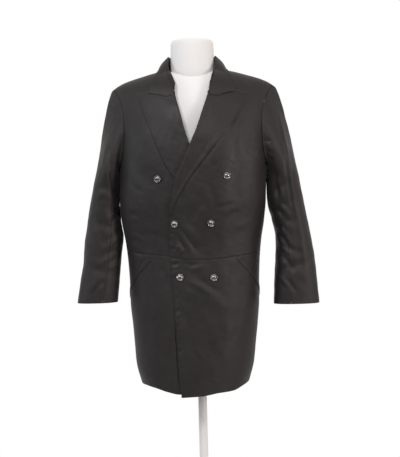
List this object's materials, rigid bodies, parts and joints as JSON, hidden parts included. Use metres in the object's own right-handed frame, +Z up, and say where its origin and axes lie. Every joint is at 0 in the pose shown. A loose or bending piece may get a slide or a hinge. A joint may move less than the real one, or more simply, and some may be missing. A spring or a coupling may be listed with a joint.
{
  "type": "double-breasted trench coat on a dress form",
  "caption": "Black double-breasted trench coat with peak lapels, six cast buttons and slanted welt pockets, worn by a white limbless dress form on a pole stand.",
  "frame": {"origin": "underside of the base plate, on the axis of the pole", "axes": "+Z up, the coat faces -Y, +X is the wearer's left"},
  "size_m": [0.693, 0.35, 1.53],
  "materials": {
    "coat_satin": "black cotton satin with a soft sheen",
    "button_silver": "polished cast metal",
    "form_cloth": "white jersey drawn over the form",
    "stand_paint": "white satin paint"
  },
  "bodies": {
    "root": {"front_left_bodice": "coat_satin", "front_right_bodice": "coat_satin", "front_left_skirt": "coat_satin", "front_right_skirt": "coat_satin", "back_left": "coat_satin", "back_right": "coat_satin", "sleeve_left_top": "coat_satin", "sleeve_left_under": "coat_satin", "sleeve_right_top": "coat_satin", "sleeve_right_under": "coat_satin", "collar": "coat_satin", "lapel_left": "coat_satin", "lapel_right": "coat_satin", "pocket_welt_left": "coat_satin", "pocket_welt_right": "coat_satin", "button_top_left": "button_silver", "button_top_right": "button_silver", "button_middle_left": "button_silver", "button_middle_right": "button_silver", "button_bottom_left": "button_silver", "button_bottom_right": "button_silver", "form_torso": "form_cloth", "form_ferrule": "stand_paint", "stand_pole": "stand_paint", "stand_base": "stand_paint"}
  },
  "joints": []
}
